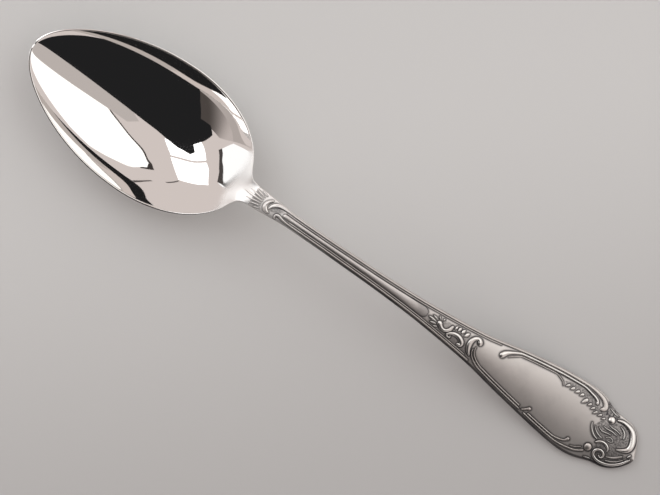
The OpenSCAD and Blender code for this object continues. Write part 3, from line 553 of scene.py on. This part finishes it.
# Foot points of all the relief, from which the dark dip and the painted shade beside the relief are
# measured.
blanks = ("bowl", "neck", "stem", "blade", "end_plate")
relief_nodes = [n for n in sorted(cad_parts) if n not in blanks]
corners = []
faces = []
for n in relief_nodes:
    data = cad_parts[n].data
    faces += [[len(corners) + i for i in p.vertices] for p in data.polygons]
    corners += [v.co.copy() for v in data.vertices]
relief_tree = mathutils.bvhtree.BVHTree.FromPolygons(corners, faces)
STEM_DIP_AND_SHADE = 0.00026
BLADE_DIP_AND_SHADE = 0.0004

# The dark at a foot is the dip left there, with painted shade beside the relief. It reaches further on the
# blade than on the stem, and grows to that where the blade starts.
REACH_FROM = 0.13
REACH_SPAN = 0.02

# Painted shade on the narrow slope along the lower edge, which faces away from the light: its width, how
# softly it ends, how dark it is, and how much less dark where the colour is pale.
SLOPE_W = 0.00105
SLOPE_FADE = 0.0004
SLOPE_PAINTED_SHADE = 0.9
SLOPE_PALE = 0.6

# Painted light on the upper edge, which faces the window, takes off the dark there: the width of that
# strip, how softly it ends and how much of the dark it loses.
TOP_EDGE_W = 0.0007
TOP_EDGE_FADE = 0.0003
TOP_EDGE_PAINTED_LIGHT = 0.6

# The back of the handle is plain and rubbed all over: how far below the front it starts, and how
# softly.
BACK_FROM = 0.001
BACK_FADE = 0.0003

# The colour is made palest at the neck and comes to the handle's own satin along the stem. The dip is a
# little thinner over the fan of leaves.
PALE_TO = 0.095
PALE_OUT = 0.122
FAN_END = 0.09
FAN_FADE = 0.003
FAN_DIP = 0.7

# Outlines of the sunken ground, in millimetres from the bowl's tip and from the middle line, with how
# dark it is.
sunken_ground = [
    (0.7, [(89.6, -0.8), (90.2, 0.6), (92.2, 1.1), (94.6, 1.5), (95.8, 1), (94.4, 0.1), (92.8, -0.9),
          (91, -1.4)]),
    (0.5, [(149.9, -0.1), (151.2, 1.7), (154.9, 2.2), (159, 2.4), (161.9, 2.7), (165.3, 2.9),
          (166.6, 2.4), (165.6, 0), (166.6, -3.5), (162.8, -3.4), (158.1, -3.1), (154.3, -2.6),
          (151.2, -2)]),
    (0.75, [(197.4, 7.3), (199.5, 6.5), (202.2, 6.4), (205.2, 6.3), (206.4, 5.2), (209.2, 5.2),
          (211.6, 4.4), (214.6, 4.2), (217.6, 3.9), (218, 6.5), (217.2, 8), (214.8, 9.2), (213.6, 9.4),
          (213.2, 7.6), (211, 7.6), (209.7, 9), (206.9, 9.3), (202.2, 9.2), (198.4, 8.1)]),
    (1.0, [(212, 9.8), (213.2, 7.6), (214.6, 5.4), (217.4, 4.6), (219.6, 6.4), (219, 8.4), (216.5, 9.8),
          (214, 10.6)]),
    (0.8, [(213.2, 0.9), (213.8, 2.6), (214.4, 4.2), (217.2, 4.6), (218.5, 5.7), (221.1, 6.9),
          (223.6, 6.3), (225.5, 4.1), (226.1, 1.3), (224.2, -0.3), (228, -1.6), (226.7, -4.7),
          (223.6, -6.9), (220.1, -7.6), (217.6, -6.3), (216.7, -3.1), (214.8, -1.3)])]
GROUND_EDGE = 0.45
TO_MM = 1000


def ground_at(x, y):
    """How far the ground is sunken at a place: 0 on the plain panel, up to its area's own depth."""
    most = 0
    for depth, outline in sunken_ground:
        inside = False
        near = 1.0
        for (ax, ay), (bx, by) in zip(outline, outline[1:] + outline[:1]):
            if (ay > y) != (by > y) and x < ax + (y - ay) * (bx - ax) / (by - ay):
                inside = not inside
            u = ((x - ax) * (bx - ax) + (y - ay) * (by - ay)) / ((bx - ax) ** 2 + (by - ay) ** 2)
            u = min(max(u, 0), 1)
            near = min(near, math.hypot(x - mix(ax, bx, u), y - mix(ay, by, u)))
        if inside:
            most = max(most, depth * min(near / GROUND_EDGE, 1))
    return most


# Down the edge of the handle: shares of its inset, with the drop as a share of the edge's height.
edge_turn = [(0.35, 0.06), (0.75, 0.16), (1, 0.34), (1, 0.55), (0.8, 0.8)]
UNDER_N = 16
UNDER_INSET = 0.6


def handle_ring(x, top_n):
    upper, lower, inset, mid, edge, foot, foot_edge, neck = profile(x)
    c = (upper - lower) / 2
    w = (upper + lower) / 2
    ring = []
    for i in range(top_n + 1):
        t = math.sin(math.radians(90 * (2 * i / top_n - 1)))
        ring.append((x, c + (w - inset) * t, mix(mid, edge, mix(wall_curve(abs(t)), t * t, neck))))
    depth = edge - foot_edge
    for share, drop in edge_turn:
        ring.append((x, c + w - inset * (1 - share), edge - depth * drop))
    for i in range(UNDER_N + 1):
        t = math.sin(math.radians(90 * (1 - 2 * i / UNDER_N)))
        ring.append((x, c + (w - inset * UNDER_INSET) * t, mix(foot, foot_edge, t * t)))
    for share, drop in reversed(edge_turn):
        ring.append((x, c - w + inset * (1 - share), edge - depth * drop))
    return ring


def stations(first, last, step):
    n = max(round((last - first) / step), 1)
    return [mix(first, last, i / n) for i in range(n + 1)]


def set_layer(piece, name, values):
    layer = piece.data.attributes.new(name, "FLOAT", "POINT")
    layer.data.foreach_set("value", values)


def pale_at(x):
    u = min(max((x - PALE_TO) / (PALE_OUT - PALE_TO), 0), 1)
    return 1 - u * u * (3 - 2 * u)


def body_layers(piece, dip):
    """The attributes of the dip with its painted shade and light, of the ground and of the pale colour on a
    part of the handle. dip is how dark the dip and its painted shade are made.
    """
    dip_and_shade = []
    ground = []
    pale = []
    for v in piece.data.vertices:
        near = relief_tree.find_nearest(v.co)[3]
        x = v.co.x + MIDDLE_X
        from_edge = v.co.y + side_half(lower_edge, x)
        # Painted shade on the slope along the lower edge, which faces away from the light.
        slope_painted_shade = SLOPE_PAINTED_SHADE * min(max((SLOPE_W - from_edge) / SLOPE_FADE, 0), 1)
        fan = min(max((x - FAN_END) / FAN_FADE, 0), 1)
        grown = min(max((x - REACH_FROM) / REACH_SPAN, 0), 1)
        reach = mix(STEM_DIP_AND_SHADE, BLADE_DIP_AND_SHADE, grown)
        from_top = side_half(upper_edge, x) - v.co.y
        # Painted light on the strip along the upper edge, which faces the window.
        top_edge_painted_light = TOP_EDGE_PAINTED_LIGHT * min(max((TOP_EDGE_W - from_top) / TOP_EDGE_FADE, 0), 1)
        # The dark at the feet of the relief is the dip, with painted shade beside it.
        foot_dip_and_shade = math.exp(-(near / reach) ** 2) * (1 - top_edge_painted_light)
        below = top_at(x, v.co.y) - v.co.z
        front = min(max((BACK_FROM - below) / BACK_FADE, 0), 1)
        left = max(foot_dip_and_shade, slope_painted_shade * (1 - SLOPE_PALE * pale_at(x)))
        dip_and_shade.append(mix(FAN_DIP, 1, fan) * dip * left * front)
        ground.append(ground_at(TO_MM * x, TO_MM * v.co.y) * front)
        pale.append(pale_at(x))
    set_layer(piece, "dip_and_shade", dip_and_shade)
    set_layer(piece, "ground", ground)
    set_layer(piece, "pale", pale)


def handle_part(node, step, across, dip):
    """A part of the handle between the ends of its solid, in rings a step apart."""
    low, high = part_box(node)
    places = stations(low.x + MIDDLE_X, high.x + MIDDLE_X, step)
    piece = loft(node + "_body", [handle_ring(x, across) for x in places])
    bpy.ops.object.shade_smooth_by_angle(angle=SHARP)
    body_layers(piece, dip)
    piece.data.materials.append(body_silver)
    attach(piece, "root")
    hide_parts(node)


# Neck: the forging's thickest part, where the bowl ends. Nickel silver struck in one with bowl and stem,
# silver plated and rubbed with a cloth, which leaves the dark dip at the feet of the ornament, with painted
# shade beside it.
handle_part("neck", step=0.0002, across=50, dip=0.9)

# Stem: a long moulded bar that arches over the table, struck in one with neck and blade and silver plated.
# Its lower edge carries painted shade, and its upper edge painted light.
handle_part("stem", step=0.0003, across=50, dip=0.9)

# Blade: the broad part, with a plain crowned panel, struck in one with the stem and silver plated. The
# panel is rubbed to an even satin along the handle.
handle_part("blade", step=0.0002, across=120, dip=0.9)

# End plate: the ground of the end ornament, with the scalloped outline, struck in one with the blade
# and silver plated. The die leaves it stippled, and the dark dip stays in it.
handle_part("end_plate", step=0.00015, across=150, dip=0.95)


# Relief silver: the same plate on the struck ridges, which the cloth reaches and keeps bright. Moulding
# silver is duller: it is on the long lines along stem and panel and on the crescent, the hook and the
# lower ball, which wear to a satin.
relief_silver = satin_silver("silver_plate_struck_relief", "#efece9", "#3a3634", 0.28, 0.45,
                             (400, 400, 400))
moulding_silver = satin_silver("silver_plate_worn_moulding", "#d6d0cc", "#383335", 0.42, 0.5,
                               (60, 1200, 1200))


RELIEF_MERGE = 2e-6
FOOT_SUNK = 0.00001
FOOT_PALE = 0.1


def struck(node, silver, worn=1.0, cast=0.0, foot=0.00013):
    """A rounded copy of one relief of the forging, with the dark dip left at its foot: worn is how dark,
    foot how high it reaches, and cast the thin film of it that stays on top."""
    deselect()
    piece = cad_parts[node].copy()
    piece.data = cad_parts[node].data.copy()
    piece.name = node + "_relief"
    piece.parent = None
    for key in list(piece.keys()):
        del piece[key]
    bpy.context.scene.collection.objects.link(piece)
    bpy.context.view_layer.objects.active = piece
    piece.select_set(True)
    piece.data.materials.clear()
    bpy.ops.object.mode_set(mode="EDIT")
    bpy.ops.mesh.select_all(action="SELECT")
    bpy.ops.mesh.remove_doubles(threshold=RELIEF_MERGE)
    bpy.ops.mesh.select_all(action="SELECT")
    bpy.ops.mesh.tris_convert_to_quads(face_threshold=math.radians(60),
                                       shape_threshold=math.radians(120))
    bpy.ops.mesh.normals_make_consistent(inside=False)
    bpy.ops.object.mode_set(mode="OBJECT")
    rounding = piece.modifiers.new("rounding", "SUBSURF")
    rounding.levels = 2
    bpy.ops.object.modifier_apply(modifier=rounding.name)
    bpy.ops.object.shade_smooth()
    values = []
    for v in piece.data.vertices:
        lift = v.co.z - top_at(v.co.x + MIDDLE_X, v.co.y)
        u = min(max((lift - FOOT_SUNK) / foot, 0), 1)
        left = worn * (1 - FOOT_PALE * pale_at(v.co.x + MIDDLE_X))
        values.append(max(left * (1 - u * u * (3 - 2 * u)), cast))
    set_layer(piece, "dip_and_shade", values)
    set_layer(piece, "pale", [pale_at(v.co.x + MIDDLE_X) for v in piece.data.vertices])
    piece.data.materials.append(silver)
    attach(piece, "root")
    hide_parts(node)


# Neck leaf: seven short leaves that fan out over the bowl's heel, part of the forging and silver plated
# with it. The cloth keeps their backs bright, and the dark dip stays as fine lines between them.
struck("neck_leaf", relief_silver, worn=0.85, foot=0.00018)

# Neck scroll: the crescent that closes the fan of leaves like a collar, struck high on the forging and
# worn to a pale satin along its back.
struck("neck_scroll", moulding_silver, worn=0.9)

# Upper edge bead: the raised line along the handle's upper edge, from a hook at the neck to a curl over
# the end ornament, struck with the handle and worn to a satin.
struck("upper_edge_bead", moulding_silver, foot=0.00015)

# Lower edge bead: its partner along the stem's lower edge, from a small hook at the neck to the start
# of the panel, struck with the handle and worn to a satin.
struck("lower_edge_bead", moulding_silver, foot=0.00019)

# Upper fillet: the fine line inside the upper bead, with a narrow groove between the two that keeps the
# dark dip.
struck("upper_fillet", moulding_silver, foot=0.00023)

# Lower fillet: the fine line inside the lower bead, struck with it, with the same dark groove between
# the two.
struck("lower_fillet", moulding_silver, foot=0.00019)

# Stem rib: the broad half-round rib along the middle of the stem, struck with it and rubbed to the same
# satin as the body, so that it shows by its light and not by a shine.
struck("stem_rib", body_silver, worn=0.45, cast=0.12)

# Leaf spray: six small leaves that spread where the rib ends, struck in the sunken ground and rubbed
# bright on top.
struck("leaf_spray", relief_silver)

# Ball scroll: a scroll that starts in a ball among the leaves and swings over to the upper line, struck
# high and rubbed bright.
struck("ball_scroll", relief_silver)

# C scroll: the bold C that curls round under the flutes, struck high with the handle and rubbed bright
# along its back.
struck("c_scroll", relief_silver)

# Shell flutes: four short flutes that stand on the C scroll like the edge of a shell, rubbed bright on
# top with the dark dip between them.
struck("shell_flutes", relief_silver)

# Leaf volute: the fat S-shaped leaf with its curled head, which closes the ornament towards the panel,
# struck high and rubbed bright.
struck("leaf_volute", relief_silver)

# Panel line pair: two fine lines that swing round the panel's start and run along its lower edge,
# struck with the handle and worn to a satin.
struck("panel_line_pair", moulding_silver, foot=0.00019)

# Panel hook: the small hook in which the inner line ends at the panel's lower edge, struck in one with
# the line and worn to the same satin.
struck("panel_hook", moulding_silver)

# Rim line pair: the same two lines taken up again beyond the hook, with a third strand where they curl
# in under the end ornament, worn to a satin.
struck("rim_line_pair", moulding_silver, foot=0.00019)

# Lower ball: the round boss in the curl of the rim lines, struck high with the handle and worn to a
# satin.
struck("lower_ball", moulding_silver)

# Upper scroll: the long bright scroll along the panel's upper edge, from a blunt foot to its curl at
# the end ornament.
struck("upper_scroll", relief_silver)

# Panel fillet: the fine line between the upper scroll and the plain panel, which turns off into the
# panel.
struck("panel_fillet", moulding_silver, foot=0.00019)

# Husk fringe: ten small husks that hang side by side from the upper scroll over the stippled ground,
# rubbed bright at their roots.
struck("husk_fringe", relief_silver, cast=0.15)

# End scroll: the broad scroll over the top of the end ornament, the highest and brightest stroke of the
# die.
struck("end_scroll", relief_silver)

# End ball: the round boss inside the end scroll's start, struck high and rubbed bright, with the dark dip
# round its foot.
struck("end_ball", relief_silver)

# End volute: the lower scroll of the end ornament with its inward curl and two veins, rubbed bright on
# top.
struck("end_volute", relief_silver)

# End leaf: the veins and folds of the shell leaf in the middle of the end ornament, struck in the dark
# ground.
struck("end_leaf", relief_silver, cast=0.25)

# Hood scroll: the small arched scroll over the volute's curl, struck in the dark ground and rubbed bright
# on top.
struck("hood_scroll", relief_silver)

# Edge leaves: short veins on the notches of the handle's end, struck close to the outline and rubbed
# bright.
struck("edge_leaves", relief_silver)
